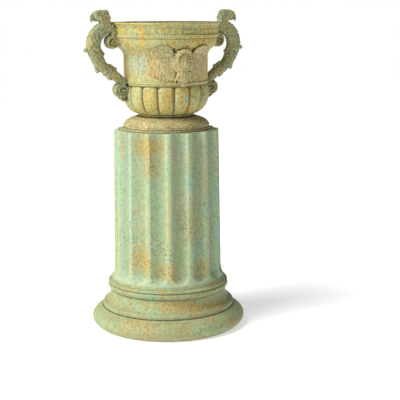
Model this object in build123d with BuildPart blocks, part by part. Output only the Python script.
"""Two-handled garden urn standing on a fluted pedestal column.

The frame has its origin at floor level on the column's axis, with +Z up, the handles along
X and the relief masks on the -Y (front) and +Y (back) sides. All sizes are in millimetres.

The pedestal is a stack of ring castings: plinth ring, base moulding, astragal ring and fluted
shaft, closed by a cap plate and pulled together by one tie rod between the cap plate and a
bar across the plinth. The urn is a hollow foot, a collar, a gadrooned lower bowl, a plain
wall and a rim ring, drawn together by one bolt. Its handles are bolted on from inside
the bowl and its masks are riveted on. The urn stands loose on the cap plate, located by a
low raised ring, and lifts straight off.
"""

from build123d import *

import os
from math import atan2, cos, pi, radians, sin, sqrt

# ---- driving dimensions: pedestal ----
PLINTH_R = 280.0  # widest point of the plinth's round nose
PLINTH_FOOT_R = 256.0  # outer edge of the plinth where it meets the floor
PLINTH_TOP_R = 244.0  # outer edge of the plinth's top
PLINTH_BORE_R = 222.0  # clear opening through the plinth
PLINTH_NOSE_H = 34.0  # height of the widest point
PLINTH_H = 72.0
MOULDING_H = 65.0  # hollow-curved moulding above the plinth
MOULDING_FOOT_R = 240.0
MOULDING_NECK_R = 211.0
ASTRAGAL_H = 41.0  # banded ring under the shaft
ASTRAGAL_R = 220.0
SHAFT_H = 539.0
SHAFT_FOOT_R = 204.0  # flared bottom of the shaft
SHAFT_LOW_R = 195.5  # just above the flare
SHAFT_TOP_R = 188.5
SHAFT_FLARE_H = 52.0
FLUTES = 16
FLUTE_DEPTH = 15.0
FLUTE_FILLET = 14.0  # flat left between two flutes
FLUTE_END_GAP = 4.0  # plain strip under the flutes' round ends
FLUTE_TURN = 2.5  # the column is set down turned by this many degrees
CASTING_WALL = 10.0  # wall of the pedestal's rings
SHAFT_WALL = 6.5  # wall left behind a flute at the top
CAP_T = 12.0  # cap plate
CAP_LEDGE = 8.0  # ledge in the shaft that carries the cap plate
LOCATOR_W = 8.0  # raised ring on the cap plate that centres the urn's foot
LOCATOR_H = 8.0
ROD_R = 8.0
TIE_BAR_W = 50.0
TIE_BAR_T = 12.0
SPIGOT_H = 6.0  # lip on the underside of each ring that centres it in the one below

# ---- driving dimensions: urn ----
FOOT_R = 157.0
FOOT_BAND_H = 10.0
FOOT_H = 49.0
FOOT_WALL = 9.0
FOOT_FLANGE_W = 37.0  # width of the face the foot stands on
FOOT_OPENING_R = 62.0  # hole in the foot's top, under the bowl's floor
BRIDGE_W = 40.0  # bar across the opening under the foot's top
BRIDGE_T = 6.0
COLLAR_R = 99.5
COLLAR_H = 8.0
BOWL_R = 153.8  # crest of the gadroons at their widest
BOWL_SEAT_R = 97.0  # bottom of the bowl
BOWL_FLOOR_T = 9.0
DISH_SHARE = 0.595  # share of the gadroons' height that belongs to the bowl's dish
GADROONS = 16
GADROON_H = 102.0
GADROON_DEPTH = 10.0
BOWL_WALL = 8.0
WALL_R = 149.5  # plain wall of the bowl
WALL_H = 164.0
BEAD_R = 4.0
RIM_R = 197.0
RIM_H = 55.0
RIM_BAND_IN = 10.0  # band that carries the rim's ornament, set in from the lip
RIM_FOOT_IN = 14.0
HANDLE_T = 40.0  # thickness of a handle's arm
ARM_EDGE = 9.0  # rounding of the arm's edges
SCROLL_R = 30.0
SCROLL_RAISE = 3.0  # how far a scroll's face stands out from the arm
HEAD_T = 34.0
HEAD_H = 43.0  # top of the bird's head above the rim
MASK_T = 7.0  # relief of the wings over the wall
MASK_HEAD = (34.0, 30.0, 47.0)  # half width, half depth and half height of the face
MASK_RISE = 86.0  # height of the face's centre above the bottom of the wall
DRAIN_R = 6.0
DRAIN_CIRCLE_R = 42.0
DRAINS = 3

# ---- fasteners and clearances ----
BOLT_R = 5.0
BOLT_HEAD_R = 8.5
BOLT_HEAD_T = 7.0
WASHER_R = 12.0
WASHER_T = 2.5
BOLT_REACH = 22.0  # thread engaged in a handle
RIVET_R = 3.0
RIVET_HEAD_R = 5.5
RIVET_HEAD_T = 3.0
ROD_NUT_R = 13.5
ROD_NUT_T = 11.0
BOLT_NUT_R = 9.8
BOLT_NUT_T = 8.0
HOLE_GAP = 0.4  # radial clearance of a bolt in its hole
FIT_GAP = 0.3  # between castings that meet on curved faces
LOCATOR_GAP = 2.0  # radial play of the urn's foot on the locating ring
TAP_GAP = 0.1  # radial clearance of a thread drawn as a plain pin
EDGE = 1.5  # softened casting edges

# ---- levels worked out from the sizes above ----
MOULDING_Z = PLINTH_H
ASTRAGAL_Z = MOULDING_Z + MOULDING_H
SHAFT_Z = ASTRAGAL_Z + ASTRAGAL_H
TOP_Z = SHAFT_Z + SHAFT_H
FOOT_Z = TOP_Z
COLLAR_Z = FOOT_Z + FOOT_H
BOWL_Z = COLLAR_Z + COLLAR_H
WALL_Z = BOWL_Z + GADROON_H
RIM_Z = WALL_Z + WALL_H
RIM_TOP = RIM_Z + RIM_H

# ---- sizes worked out from the ones above ----
SEAT_R = SHAFT_TOP_R - FLUTE_DEPTH - SHAFT_WALL  # recess for the cap plate
SHAFT_BORE_R = SEAT_R - CAP_LEDGE
SHAFT_LOW_BORE_R = SHAFT_LOW_R - FLUTE_DEPTH - CASTING_WALL
ASTRAGAL_BORE_R = SHAFT_FOOT_R - CASTING_WALL
TIE_BAR_HALF = PLINTH_TOP_R - 8.0
FLANGE_BORE_R = FOOT_R - FOOT_FLANGE_W
LOCATOR_R = FLANGE_BORE_R - LOCATOR_GAP
WALL_BORE_R = WALL_R - BOWL_WALL
RIM_BAND_R = RIM_R - RIM_BAND_IN
RIM_FOOT_R = RIM_R - RIM_FOOT_IN
BOWL_BORE_R = BOWL_R - GADROON_DEPTH - BOWL_WALL
BEAD_Z = WALL_Z + 12.0
DRUM_TOP = WALL_Z + 99.0  # where the plain wall starts to flare
UPPER_SCROLL = (RIM_R + 5.0, RIM_Z - 10.0)  # distance from the axis and height of the centre
LOWER_SCROLL = (BOWL_R + 16.2, WALL_Z - 16.0)
HEAD_TOP = RIM_TOP + HEAD_H
MASK_Z = WALL_Z + MASK_RISE
BOSS_R = WASHER_R + 2.0
LOWER_BOLT = (BOWL_BORE_R - 3.0, LOWER_SCROLL[1] + 5.0)  # seat of the head and height
UPPER_BOLT = (WALL_BORE_R + 6.0, UPPER_SCROLL[1] - BOSS_R + 1.5)
BASE = (Align.CENTER, Align.CENTER, Align.MIN)

os.makedirs("parts", exist_ok=True)


def save(piece, label):
    """Labels a finished piece and writes its file."""
    piece.label = label
    export_step(piece, f"parts/{label}.step")


# ---- pedestal ----

# Plinth ring: a round nose outside and a C-shaped hollow inside, open towards the axis.
hollow_r = PLINTH_NOSE_H - 8.0
with BuildPart() as plinth_ring:
    with BuildSketch(Plane.XZ):
        with BuildLine():
            ThreePointArc(
                (PLINTH_FOOT_R, 0), (PLINTH_R, PLINTH_NOSE_H), (PLINTH_TOP_R + 1, PLINTH_H - EDGE)
            )
            Polyline(
                (PLINTH_TOP_R + 1, PLINTH_H - EDGE),
                (PLINTH_TOP_R - EDGE, PLINTH_H),
                (PLINTH_BORE_R, PLINTH_H),
                (PLINTH_BORE_R, PLINTH_NOSE_H + hollow_r),
                (PLINTH_TOP_R, PLINTH_NOSE_H + hollow_r),
            )
            ThreePointArc(
                (PLINTH_TOP_R, PLINTH_NOSE_H + hollow_r),
                (PLINTH_TOP_R + hollow_r, PLINTH_NOSE_H),
                (PLINTH_TOP_R, PLINTH_NOSE_H - hollow_r),
            )
            Polyline(
                (PLINTH_TOP_R, PLINTH_NOSE_H - hollow_r),
                (PLINTH_BORE_R, PLINTH_NOSE_H - hollow_r),
                (PLINTH_BORE_R, 0),
                (PLINTH_FOOT_R, 0),
            )
        make_face()
    revolve(axis=Axis.Z)
save(plinth_ring.part, "plinth_ring")

# Base moulding: a hollow curve that flares down on to the plinth.
nose_top = (MOULDING_FOOT_R - 7.0, MOULDING_Z + 18.0)
flare_mid = (MOULDING_NECK_R + 7.0, MOULDING_Z + 27.0)
neck_z = ASTRAGAL_Z - 8.0
moulding_bore_r = MOULDING_NECK_R - CASTING_WALL
lip_r = PLINTH_BORE_R - FIT_GAP
with BuildPart() as base_moulding:
    with BuildSketch(Plane.XZ):
        with BuildLine():
            Line((MOULDING_FOOT_R, MOULDING_Z), (MOULDING_FOOT_R, MOULDING_Z + 8))
            ThreePointArc(
                (MOULDING_FOOT_R, MOULDING_Z + 8), (MOULDING_FOOT_R - 2, MOULDING_Z + 14), nose_top
            )
            ThreePointArc(nose_top, flare_mid, (MOULDING_NECK_R, neck_z))
            Polyline(
                (MOULDING_NECK_R, neck_z),
                (MOULDING_NECK_R, ASTRAGAL_Z),
                (moulding_bore_r, ASTRAGAL_Z),
                (moulding_bore_r, neck_z),
            )
            Polyline(
                (moulding_bore_r, neck_z),
                (lip_r - SPIGOT_H, MOULDING_Z + CASTING_WALL),
                (lip_r - SPIGOT_H, MOULDING_Z - SPIGOT_H),
                (lip_r, MOULDING_Z - SPIGOT_H),
                (lip_r, MOULDING_Z),
                (MOULDING_FOOT_R, MOULDING_Z),
            )
        make_face()
    revolve(axis=Axis.Z)
save(base_moulding.part, "base_moulding")

# Astragal ring: a rounded band with a quarter round above it and a groove between them.
band_top = ASTRAGAL_Z + 19.0
groove_r = ASTRAGAL_R - 5.0
lip_r = moulding_bore_r - FIT_GAP
with BuildPart() as astragal_ring:
    with BuildSketch(Plane.XZ):
        with BuildLine():
            Polyline(
                (ASTRAGAL_BORE_R, ASTRAGAL_Z - SPIGOT_H),
                (lip_r, ASTRAGAL_Z - SPIGOT_H),
                (lip_r, ASTRAGAL_Z),
                (MOULDING_NECK_R + 1, ASTRAGAL_Z),
                (ASTRAGAL_R - 3, ASTRAGAL_Z + 3),
            )
            ThreePointArc(
                (ASTRAGAL_R - 3, ASTRAGAL_Z + 3),
                (ASTRAGAL_R, ASTRAGAL_Z + 11),
                (ASTRAGAL_R - 1, band_top),
            )
            Polyline(
                (ASTRAGAL_R - 1, band_top),
                (groove_r, band_top + 1),
                (groove_r, band_top + 3),
                (ASTRAGAL_R - 2, band_top + 4),
            )
            ThreePointArc(
                (ASTRAGAL_R - 2, band_top + 4),
                (ASTRAGAL_R - 5, band_top + 10),
                (SHAFT_FOOT_R + 4, band_top + 14),
            )
            Polyline(
                (SHAFT_FOOT_R + 4, band_top + 14),
                (SHAFT_FOOT_R + 3, SHAFT_Z),
                (ASTRAGAL_BORE_R, SHAFT_Z),
                (ASTRAGAL_BORE_R, ASTRAGAL_Z - SPIGOT_H),
            )
        make_face()
    revolve(axis=Axis.Z)
save(astragal_ring.part, "astragal_ring")

# Fluted shaft: a tapering tube with a flared bottom, a ledge for the cap plate and flutes
# that run out at the top and end in half domes at the bottom.
flare_z = SHAFT_Z + SHAFT_FLARE_H
seat_z = TOP_Z - CAP_T
lip_r = ASTRAGAL_BORE_R - FIT_GAP
flute_half = (2 * pi * SHAFT_TOP_R / FLUTES - FLUTE_FILLET) / 2
flute_rise = SHAFT_TOP_R * cos(flute_half / SHAFT_TOP_R) - (SHAFT_TOP_R - FLUTE_DEPTH)
flute_r = (flute_half**2 + flute_rise**2) / (2 * flute_rise)
flute_end_z = SHAFT_Z + FLUTE_END_GAP + flute_half + 6.0
taper = atan2(SHAFT_LOW_R - SHAFT_TOP_R, TOP_Z - flare_z)
flute_x = SHAFT_TOP_R - FLUTE_DEPTH + flute_r + (TOP_Z - flute_end_z) * sin(taper)
with BuildPart() as flute_tool:
    with Locations(Plane((flute_x, 0, flute_end_z), z_dir=(-sin(taper), 0, cos(taper)))):
        Cylinder(flute_r, SHAFT_H, align=BASE)
        Sphere(flute_r)
with BuildPart() as fluted_shaft:
    with BuildSketch(Plane.XZ):
        with BuildLine():
            ThreePointArc(
                (SHAFT_FOOT_R, SHAFT_Z),
                (SHAFT_LOW_R + 2.2, SHAFT_Z + 0.4 * SHAFT_FLARE_H),
                (SHAFT_LOW_R, flare_z),
            )
            Polyline(
                (SHAFT_LOW_R, flare_z),
                (SHAFT_TOP_R, TOP_Z),
                (SEAT_R, TOP_Z),
                (SEAT_R, seat_z),
                (SHAFT_BORE_R, seat_z),
                (SHAFT_BORE_R, seat_z - CASTING_WALL),
                (SHAFT_LOW_BORE_R, flare_z),
                (lip_r - SPIGOT_H, SHAFT_Z + CASTING_WALL),
                (lip_r - SPIGOT_H, SHAFT_Z - SPIGOT_H),
                (lip_r, SHAFT_Z - SPIGOT_H),
                (lip_r, SHAFT_Z),
                (SHAFT_FOOT_R, SHAFT_Z),
            )
        make_face()
    revolve(axis=Axis.Z)
    with PolarLocations(0, FLUTES, start_angle=180 / FLUTES + FLUTE_TURN):
        add(flute_tool.part, mode=Mode.SUBTRACT)
save(fluted_shaft.part, "fluted_shaft")

# Cap plate: closes the shaft and carries the raised ring that centres the urn.
with BuildPart() as cap_plate:
    with BuildSketch(Plane.XY.offset(seat_z)):
        Circle(SEAT_R - FIT_GAP)
        Circle(ROD_R + HOLE_GAP, mode=Mode.SUBTRACT)
    extrude(amount=CAP_T)
    with BuildSketch(Plane.XY.offset(TOP_Z)):
        Circle(LOCATOR_R)
        Circle(LOCATOR_R - LOCATOR_W, mode=Mode.SUBTRACT)
    extrude(amount=LOCATOR_H)
save(cap_plate.part, "cap_plate")

# Tie bar: a flat bar that pulls up against the inside of the plinth's top flange.
tie_bar_z = PLINTH_NOSE_H + hollow_r - TIE_BAR_T
with BuildPart() as tie_bar:
    with BuildSketch(Plane.XY.offset(tie_bar_z)):
        RectangleRounded(2 * TIE_BAR_HALF, TIE_BAR_W, TIE_BAR_W / 5)
        Circle(ROD_R + HOLE_GAP, mode=Mode.SUBTRACT)
    extrude(amount=TIE_BAR_T)
save(tie_bar.part, "tie_bar")

# Tie rod with a nut and a washer at each end.
rod_washer_levels = (TOP_Z, tie_bar_z - WASHER_T)
rod_nut_levels = (TOP_Z + WASHER_T, tie_bar_z - WASHER_T - ROD_NUT_T)
rod_low = rod_nut_levels[1] - 2.0
rod_top = rod_nut_levels[0] + ROD_NUT_T + 2.0
with BuildPart() as tie_rod:
    with Locations((0, 0, rod_low)):
        Cylinder(ROD_R, rod_top - rod_low, align=BASE)
    chamfer(tie_rod.edges().filter_by(GeomType.CIRCLE), 1.0)
save(tie_rod.part, "tie_rod")

with BuildPart() as tie_rod_washers:
    for level in rod_washer_levels:
        with BuildSketch(Plane.XY.offset(level)):
            Circle(ROD_NUT_R + 3)
            Circle(ROD_R + HOLE_GAP, mode=Mode.SUBTRACT)
        extrude(amount=WASHER_T)
save(tie_rod_washers.part, "tie_rod_washers")

with BuildPart() as tie_rod_nuts:
    for level in rod_nut_levels:
        with BuildSketch(Plane.XY.offset(level)):
            RegularPolygon(ROD_NUT_R, 6)
            Circle(ROD_R + TAP_GAP, mode=Mode.SUBTRACT)
        extrude(amount=ROD_NUT_T)
save(tie_rod_nuts.part, "tie_rod_nuts")

# ---- urn ----

# Foot: a hollow dome with a flange that rests on the cap plate round the locating ring.
dome_z = FOOT_Z + FOOT_BAND_H
dome_mid = (0.5 * (FOOT_R + COLLAR_R) + 8.5, FOOT_Z + 0.5 * FOOT_H + 11.0)
foot_roof_z = COLLAR_Z - FOOT_WALL
with BuildPart() as urn_foot:
    with BuildSketch(Plane.XZ):
        with BuildLine():
            Polyline(
                (FLANGE_BORE_R, FOOT_Z),
                (FOOT_R, FOOT_Z),
                (FOOT_R, dome_z - EDGE),
                (FOOT_R - EDGE, dome_z),
            )
            ThreePointArc((FOOT_R - EDGE, dome_z), dome_mid, (COLLAR_R + 2, COLLAR_Z))
            Polyline(
                (COLLAR_R + 2, COLLAR_Z),
                (FOOT_OPENING_R, COLLAR_Z),
                (FOOT_OPENING_R, foot_roof_z),
                (COLLAR_R - 8, foot_roof_z),
            )
            ThreePointArc(
                (COLLAR_R - 8, foot_roof_z),
                (dome_mid[0] - FOOT_WALL, dome_mid[1] - FOOT_WALL),
                (FOOT_R - 2 * FOOT_WALL, dome_z - 1),
            )
            Polyline(
                (FOOT_R - 2 * FOOT_WALL, dome_z - 1),
                (FLANGE_BORE_R, dome_z - 1),
                (FLANGE_BORE_R, FOOT_Z),
            )
        make_face()
    revolve(axis=Axis.Z)
save(urn_foot.part, "urn_foot")

# Collar between the foot and the bowl.
with BuildPart() as neck_collar:
    with BuildSketch(Plane.XY.offset(COLLAR_Z)):
        Circle(COLLAR_R)
        Circle(FOOT_OPENING_R, mode=Mode.SUBTRACT)
    extrude(amount=COLLAR_H)
    outer_edges = neck_collar.edges().filter_by(GeomType.CIRCLE).sort_by(SortBy.RADIUS)[-2:]
    fillet(outer_edges, COLLAR_H / 3)
save(neck_collar.part, "neck_collar")

# Bridge: a flat bar under the foot's top that the central bolt pulls against.
with BuildPart() as foot_bridge:
    with BuildSketch(Plane.XY.offset(foot_roof_z - BRIDGE_T)):
        RectangleRounded(2 * (FOOT_OPENING_R + 14), BRIDGE_W, 5)
        Circle(BOLT_R + HOLE_GAP, mode=Mode.SUBTRACT)
    extrude(amount=BRIDGE_T)
save(foot_bridge.part, "foot_bridge")

# Lower bowl: lofted through lobed sections, one lobe for each gadroon.
belly = 0.7  # share of the gadroons' height at which the bowl is widest
shoulder_drop = BOWL_R - WALL_R - 1.0


def crest_radius(share):
    """Radius of the gadroons' crests at a share of their height."""
    if share < belly:
        return BOWL_SEAT_R + (BOWL_R - BOWL_SEAT_R) * sqrt(1 - (1 - share / belly) ** 2)
    return BOWL_R - shoulder_drop * ((share - belly) / (1 - belly)) ** 2


def groove_depth(share):
    """Depth of the groove between two gadroons at a share of their height."""
    return GADROON_DEPTH * (0.15 + 0.85 * sin(pi * share))


def on_circle(radius, angle):
    """Point at an angle in degrees on a circle round the axis."""
    return (radius * cos(radians(angle)), radius * sin(radians(angle)))


def along_x(x, z, side=1):
    """Place at a height with its own +Z pointing outwards along the X axis."""
    return Location((side * x, 0, z), (0, 90 * side, 0))


lobe = 360 / GADROONS
spigot_r = WALL_BORE_R - FIT_GAP
spigot_bore_r = spigot_r - 6.0
floor_z = BOWL_Z + BOWL_FLOOR_T
belly_z = BOWL_Z + belly * GADROON_H
with BuildPart() as bowl_hollow:
    with BuildSketch(Plane.XZ):
        with BuildLine():
            Line((0, floor_z), (0.62 * BOWL_SEAT_R, floor_z))
            ThreePointArc(
                (0.62 * BOWL_SEAT_R, floor_z),
                (BOWL_BORE_R - 19, floor_z + 0.33 * (belly_z - floor_z)),
                (BOWL_BORE_R, belly_z),
            )
            Polyline(
                (BOWL_BORE_R, belly_z),
                (spigot_bore_r, WALL_Z - 4),
                (spigot_bore_r, WALL_Z + SPIGOT_H),
                (0, WALL_Z + SPIGOT_H),
                (0, floor_z),
            )
        make_face()
    revolve(axis=Axis.Z)
    with Locations(along_x(*LOWER_BOLT), along_x(*LOWER_BOLT, side=-1)):
        Cylinder(BOSS_R, 60, align=BASE, mode=Mode.SUBTRACT)
with BuildPart() as lower_bowl:
    for share in (0, 0.025, 0.08, 0.16, 0.28, 0.44, 0.62, 0.8, 0.92, 1):
        crest = crest_radius(share)
        valley = crest - groove_depth(share)
        with BuildSketch(Plane.XY.offset(BOWL_Z + share * GADROON_H)):
            with BuildLine():
                for k in range(GADROONS):
                    ThreePointArc(
                        on_circle(valley, (k - 0.5) * lobe),
                        on_circle(crest, k * lobe),
                        on_circle(valley, (k + 0.5) * lobe),
                    )
            make_face()
    loft()
    with Locations((0, 0, WALL_Z)):
        Cylinder(spigot_r, SPIGOT_H, align=BASE)
    add(bowl_hollow.part, mode=Mode.SUBTRACT)
    with Locations(along_x(*LOWER_BOLT), along_x(*LOWER_BOLT, side=-1)):
        Cylinder(BOLT_R + HOLE_GAP, 60, mode=Mode.SUBTRACT)
    with Locations((0, 0, BOWL_Z)):
        Cylinder(BOLT_R + HOLE_GAP, 40, mode=Mode.SUBTRACT)
        with PolarLocations(DRAIN_CIRCLE_R, DRAINS, start_angle=90):
            Cylinder(DRAIN_R, 40, mode=Mode.SUBTRACT)
# One casting, kept as two solids that meet face to face: a dish and the ring above it.
dish_top = Plane.XY.offset(BOWL_Z + DISH_SHARE * GADROON_H)
save(split(lower_bowl.part, bisect_by=dish_top, keep=Keep.BOTTOM), "lower_bowl")
save(split(lower_bowl.part, bisect_by=dish_top, keep=Keep.TOP), "gadroon_ring")

# Bowl wall: a bead at the bottom, a plain drum, and a flare that carries the rim.
flare = RIM_FOOT_R - WALL_R
flare_knee = (WALL_R + 0.13 * flare, DRUM_TOP + 0.26 * (RIM_Z - DRUM_TOP))
flare_turn = (WALL_R + 0.4 * flare, DRUM_TOP + 0.42 * (RIM_Z - DRUM_TOP))
flare_out = (WALL_R + 0.82 * flare, DRUM_TOP + 0.68 * (RIM_Z - DRUM_TOP))
rivet_angles = (-104, -76, 76, 104)
with BuildPart() as wall_hollow:
    with BuildSketch(Plane.XZ):
        with BuildLine():
            Polyline(
                (0, RIM_Z),
                (0, WALL_Z),
                (WALL_BORE_R, WALL_Z),
                (WALL_BORE_R, DRUM_TOP + 8),
            )
            ThreePointArc(
                (WALL_BORE_R, DRUM_TOP + 8),
                (WALL_BORE_R + 0.12 * flare, DRUM_TOP + 0.37 * (RIM_Z - DRUM_TOP)),
                (flare_turn[0] - BOWL_WALL, flare_turn[1] + 8),
            )
            ThreePointArc(
                (flare_turn[0] - BOWL_WALL, flare_turn[1] + 8),
                (flare_out[0] - BOWL_WALL, flare_out[1] + 5),
                (RIM_FOOT_R - BOWL_WALL, RIM_Z),
            )
            Line((RIM_FOOT_R - BOWL_WALL, RIM_Z), (0, RIM_Z))
        make_face()
    revolve(axis=Axis.Z)
    with Locations(along_x(*UPPER_BOLT), along_x(*UPPER_BOLT, side=-1)):
        Cylinder(BOSS_R, 60, align=BASE, mode=Mode.SUBTRACT)
with BuildPart() as bowl_wall:
    with BuildSketch(Plane.XZ):
        with BuildLine():
            Line((WALL_R, WALL_Z), (WALL_R, BEAD_Z - BEAD_R))
            ThreePointArc(
                (WALL_R, BEAD_Z - BEAD_R), (WALL_R + BEAD_R, BEAD_Z), (WALL_R, BEAD_Z + BEAD_R)
            )
            Line((WALL_R, BEAD_Z + BEAD_R), (WALL_R, DRUM_TOP))
            ThreePointArc((WALL_R, DRUM_TOP), flare_knee, flare_turn)
            ThreePointArc(flare_turn, flare_out, (RIM_FOOT_R, RIM_Z))
            Polyline((RIM_FOOT_R, RIM_Z), (0, RIM_Z), (0, WALL_Z), (WALL_R, WALL_Z))
        make_face()
    revolve(axis=Axis.Z)
    add(wall_hollow.part, mode=Mode.SUBTRACT)
    with Locations(along_x(*UPPER_BOLT), along_x(*UPPER_BOLT, side=-1)):
        Cylinder(BOLT_R + HOLE_GAP, 90, mode=Mode.SUBTRACT)
    for angle in rivet_angles:
        with Locations(Location((0, 0, MASK_Z), (0, 0, angle)) * along_x(WALL_BORE_R, 0)):
            Cylinder(RIVET_HEAD_R + 1, 2, mode=Mode.SUBTRACT)
            Cylinder(RIVET_R + HOLE_GAP, 60, mode=Mode.SUBTRACT)
save(bowl_wall.part, "bowl_wall")

# Rim ring: a round moulding, an upright band and a curved lip, centred by a lip underneath.
band_z = RIM_Z + 15.0
lip_z = RIM_Z + 38.0
rim_lip_r = RIM_FOOT_R - BOWL_WALL - 4.0
with BuildPart() as rim_ring:
    with BuildSketch(Plane.XZ):
        with BuildLine():
            ThreePointArc(
                (RIM_FOOT_R, RIM_Z), (RIM_BAND_R + 1, RIM_Z + 8), (RIM_BAND_R - 1.5, band_z)
            )
            Line((RIM_BAND_R - 1.5, band_z), (RIM_BAND_R + 1, lip_z))
            ThreePointArc(
                (RIM_BAND_R + 1, lip_z), (RIM_BAND_R + 4.5, lip_z + 6.5), (RIM_R, RIM_TOP - 7)
            )
            Line((RIM_R, RIM_TOP - 7), (RIM_R, RIM_TOP - 2))
            ThreePointArc((RIM_R, RIM_TOP - 2), (RIM_R - 1, RIM_TOP - 0.6), (RIM_R - 2.5, RIM_TOP))
            Polyline(
                (RIM_R - 2.5, RIM_TOP),
                (RIM_R - 9, RIM_TOP),
                (RIM_BAND_R - BOWL_WALL, lip_z),
                (rim_lip_r - SPIGOT_H - 2, RIM_Z + SPIGOT_H),
                (rim_lip_r - SPIGOT_H - 2, RIM_Z - SPIGOT_H),
                (rim_lip_r - 2 * EDGE, RIM_Z - SPIGOT_H),
                (rim_lip_r, RIM_Z),
                (RIM_FOOT_R, RIM_Z),
            )
        make_face()
    revolve(axis=Axis.Z)
save(rim_ring.part, "rim_ring")

# Clearance shape of the bowl and rim: what is fixed to them is cut back by it.
with BuildPart() as bowl_envelope:
    with BuildSketch(Plane.XZ):
        with BuildLine():
            Polyline((0, BOWL_Z), (crest_radius(0) + FIT_GAP, BOWL_Z))
            Spline(
                *[
                    (crest_radius(share) + FIT_GAP, BOWL_Z + share * GADROON_H)
                    for share in (0, 0.1, 0.25, 0.45, belly)
                ],
                tangents=((1, 0), (0, 1)),
            )
            Polyline(
                (BOWL_R + FIT_GAP, belly_z),
                (WALL_R + BEAD_R + FIT_GAP, BEAD_Z - BEAD_R),
                (WALL_R + BEAD_R + FIT_GAP, BEAD_Z + BEAD_R),
                (WALL_R + FIT_GAP, BEAD_Z + BEAD_R + 0.5),
                (WALL_R + FIT_GAP, DRUM_TOP),
            )
            ThreePointArc(
                (WALL_R + FIT_GAP, DRUM_TOP),
                (flare_knee[0] + FIT_GAP, flare_knee[1] - FIT_GAP),
                (flare_turn[0] + FIT_GAP, flare_turn[1] - FIT_GAP),
            )
            ThreePointArc(
                (flare_turn[0] + FIT_GAP, flare_turn[1] - FIT_GAP),
                (flare_out[0] + FIT_GAP, flare_out[1] - FIT_GAP),
                (RIM_FOOT_R + FIT_GAP, RIM_Z),
            )
            Polyline(
                (RIM_FOOT_R + FIT_GAP, RIM_Z),
                (RIM_BAND_R + 1 + FIT_GAP, RIM_Z + 3),
                (RIM_BAND_R + 1 + FIT_GAP, lip_z - 1),
                (RIM_R + FIT_GAP, RIM_TOP - 9),
                (RIM_R + FIT_GAP, RIM_TOP + 2),
                (0, RIM_TOP + 2),
                (0, BOWL_Z),
            )
        make_face()
    revolve(axis=Axis.Z)


def from_scroll(centre, offsets):
    """Points given as offsets from a scroll's centre."""
    return [(centre[0] + dx, centre[1] + dz) for dx, dz in offsets]


# Handle: an arm that rises from the lower scroll and arches over to the upper one, four
# leaf buds, and a bird's head that looks outwards from the top.
arm_outside = from_scroll(LOWER_SCROLL, [(16, 26), (38, 43), (64, 60), (88, 79)])
arm_outside += from_scroll(UPPER_SCROLL, [(74, -64), (87, -39), (95, -15), (91, 5), (84, 24)])
arm_outside += from_scroll(UPPER_SCROLL, [(74, 41), (60, 54), (42, 62)])
arm_inside = from_scroll(UPPER_SCROLL, [(27, 13), (38, -1), (42.5, -18), (40, -36), (31, -60)])
arm_inside += from_scroll(LOWER_SCROLL, [(46, 86), (29, 70), (10, 57), (-10, 47), (-28, 32)])
tail = from_scroll(LOWER_SCROLL, [(-24, -10), (2, -26), (-3, -36), (-14, -41), (-30, -42)])
head_outline = [(0.0, -42.0), (9.0, -18.0), (10.0, -6.0), (16.0, 0.0), (60.0, 0.0), (66.0, -7.0)]
head_outline += [(68.0, -20.0), (75.0, -34.0), (71.0, -46.0), (62.0, -40.0), (52.0, -38.0)]
head_outline += [(44.0, -45.0), (36.0, -56.0), (0.0, -56.0)]
buds = [
    from_scroll(UPPER_SCROLL, [(80, -52), (99, -34), (102.5, -25), (93, -12)]),
    from_scroll(UPPER_SCROLL, [(46, -26), (27, -36), (29, -52), (42, -54)]),
    from_scroll(LOWER_SCROLL, [(60, 52), (80, 63), (91, 72), (84, 80)]),
    from_scroll(LOWER_SCROLL, [(38, 82), (26, 80), (15, 69), (14, 56)]),
]
with BuildPart() as right_handle:
    with BuildSketch(Plane.XZ):
        with BuildLine():
            Spline(*arm_outside)
            Polyline(
                arm_outside[-1],
                (UPPER_SCROLL[0] - 12, UPPER_SCROLL[1] + 64),
                (UPPER_SCROLL[0] - 24, UPPER_SCROLL[1] + 4),
                UPPER_SCROLL,
                arm_inside[0],
            )
            Spline(*arm_inside)
            Polyline(arm_inside[-1], (LOWER_SCROLL[0] - 26, LOWER_SCROLL[1]), LOWER_SCROLL, arm_outside[0])
        make_face()
    extrude(amount=HANDLE_T / 2, both=True)
    sides = right_handle.faces().sort_by(Axis.Y)
    fillet(sides[0].edges() + sides[-1].edges(), ARM_EDGE)
    for centre in (UPPER_SCROLL, LOWER_SCROLL):
        with Locations(Location((centre[0], 0, centre[1]), (90, 0, 0))):
            Cylinder(SCROLL_R, HANDLE_T + 2 * SCROLL_RAISE)
    for bud in buds:
        with BuildSketch(Plane.XZ):
            Polygon(*bud, align=None)
        extrude(amount=HANDLE_T / 4, both=True)
    with BuildSketch(Plane.XZ):
        Polygon(*tail, align=None)
    extrude(amount=HANDLE_T / 3, both=True)
    with BuildSketch(Plane.XZ):
        Polygon(*[(RIM_R + 5 + dx, HEAD_TOP + dz) for dx, dz in head_outline], align=None)
    extrude(amount=HEAD_T / 2, both=True)
    add(bowl_envelope.part, mode=Mode.SUBTRACT)
    for seat, level in (LOWER_BOLT, UPPER_BOLT):
        outside = BOWL_R if level < BEAD_Z else RIM_FOOT_R - 2
        with Locations(along_x(0, level)):
            Cylinder(BOLT_R + TAP_GAP, outside + BOLT_REACH + 2, align=BASE, mode=Mode.SUBTRACT)
save(right_handle.part, "right_handle")
left_handle = mirror(right_handle.part, about=Plane.YZ)
save(left_handle, "left_handle")

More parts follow.
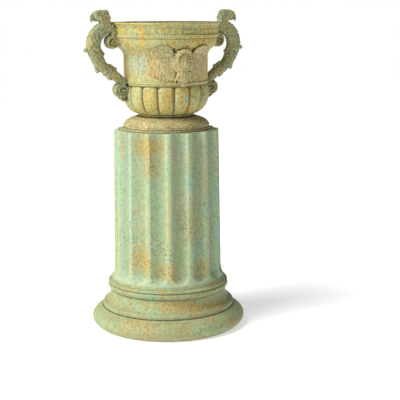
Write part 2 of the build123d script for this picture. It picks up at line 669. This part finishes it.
# Handle bolts run outwards from flat bosses inside the bowl into the handles.
with BuildPart() as handle_bolts:
    for seat, level in (LOWER_BOLT, UPPER_BOLT):
        outside = BOWL_R if level < BEAD_Z else RIM_FOOT_R - 2
        for side in (-1, 1):
            with Locations(along_x(seat - WASHER_T, level, side)):
                Cylinder(BOLT_R, outside + BOLT_REACH - seat + WASHER_T, align=BASE)
            with Locations(along_x(seat - WASHER_T - BOLT_HEAD_T, level, side)):
                Cylinder(BOLT_HEAD_R, BOLT_HEAD_T, align=BASE)
save(handle_bolts.part, "handle_bolts")

with BuildPart() as handle_washers:
    for seat, level in (LOWER_BOLT, UPPER_BOLT):
        for side in (-1, 1):
            with Locations(along_x(seat - WASHER_T, level, side)):
                Cylinder(WASHER_R, WASHER_T, align=BASE)
                Cylinder(BOLT_R + HOLE_GAP, WASHER_T, align=BASE, mode=Mode.SUBTRACT)
save(handle_washers.part, "handle_washers")

# Masks: a face between two spread wings, in relief on the wall.
wing = [(0, 20), (22, 44), (30, 28), (42, 45), (60, 50), (84, 46), (105, 30), (116, 6)]
wing += [(114, -22), (101, -44), (80, -60), (52, -67), (26, -66), (12, -84), (0, -86)]
outline = wing + [(-x, z) for x, z in reversed(wing[1:-1])]
face = scale(Sphere(1), by=MASK_HEAD)
with BuildPart() as relief:  # the wall and its flare, thicker all over by the wings' relief
    with BuildSketch(Plane.XZ):
        with BuildLine():
            Polyline(
                (0, DRUM_TOP), (0, MASK_Z - 100), (WALL_R + MASK_T, MASK_Z - 100), (WALL_R + MASK_T, DRUM_TOP)
            )
            ThreePointArc(
                (WALL_R + MASK_T, DRUM_TOP),
                (flare_knee[0] + MASK_T, flare_knee[1] - 1),
                (flare_turn[0] + MASK_T, flare_turn[1] - 3),
            )
            Polyline(
                (flare_turn[0] + MASK_T, flare_turn[1] - 3), (flare_out[0] + MASK_T, flare_out[1]),
                (0, flare_out[1]), (0, DRUM_TOP)
            )
        make_face()
    revolve(axis=Axis.Z)
with BuildPart() as front_mask:
    with BuildSketch(Plane.XZ):
        Polygon(*[(x * WALL_R / 149.5, MASK_Z + z) for x, z in outline], align=None)
    extrude(amount=WALL_R + flare + MASK_T)
    add(relief.part, mode=Mode.INTERSECT)
    with Locations((0, -WALL_R + 4, MASK_Z)):
        add(face)
    add(bowl_envelope.part, mode=Mode.SUBTRACT)
    for angle in rivet_angles[:2]:
        with Locations(Location((0, 0, MASK_Z), (0, 0, angle)) * along_x(0, 0)):
            Cylinder(RIVET_R + TAP_GAP, WALL_R + MASK_T - 2, align=BASE, mode=Mode.SUBTRACT)
save(front_mask.part, "front_mask")
back_mask = Rot(0, 0, 180) * front_mask.part
save(back_mask, "back_mask")

with BuildPart() as mask_rivets:
    for angle in rivet_angles:
        with Locations(Location((0, 0, MASK_Z), (0, 0, angle)) * along_x(WALL_BORE_R + 1, 0)):
            Cylinder(RIVET_R, BOWL_WALL + MASK_T - 4, align=BASE)
            Cylinder(RIVET_HEAD_R, RIVET_HEAD_T, align=(Align.CENTER, Align.CENTER, Align.MAX))
save(mask_rivets.part, "mask_rivets")

# Central bolt: from the bowl's floor down through the bridge under the foot's top.
bridge_z = foot_roof_z - BRIDGE_T
bolt_low = bridge_z - WASHER_T - BOLT_NUT_T - 2.0
with BuildPart() as bowl_bolt:
    with Locations((0, 0, bolt_low)):
        Cylinder(BOLT_R, floor_z + WASHER_T - bolt_low, align=BASE)
    with BuildSketch(Plane.XY.offset(floor_z + WASHER_T)):
        RegularPolygon(BOLT_NUT_R, 6)
    extrude(amount=BOLT_HEAD_T)
save(bowl_bolt.part, "bowl_bolt")

with BuildPart() as bowl_washers:
    for level in (floor_z, bridge_z - WASHER_T):
        with BuildSketch(Plane.XY.offset(level)):
            Circle(WASHER_R)
            Circle(BOLT_R + HOLE_GAP, mode=Mode.SUBTRACT)
        extrude(amount=WASHER_T)
save(bowl_washers.part, "bowl_washers")

with BuildPart() as bowl_nut:
    with BuildSketch(Plane.XY.offset(bridge_z - WASHER_T - BOLT_NUT_T)):
        RegularPolygon(BOLT_NUT_R, 6)
        Circle(BOLT_R + TAP_GAP, mode=Mode.SUBTRACT)
    extrude(amount=BOLT_NUT_T)
save(bowl_nut.part, "bowl_nut")
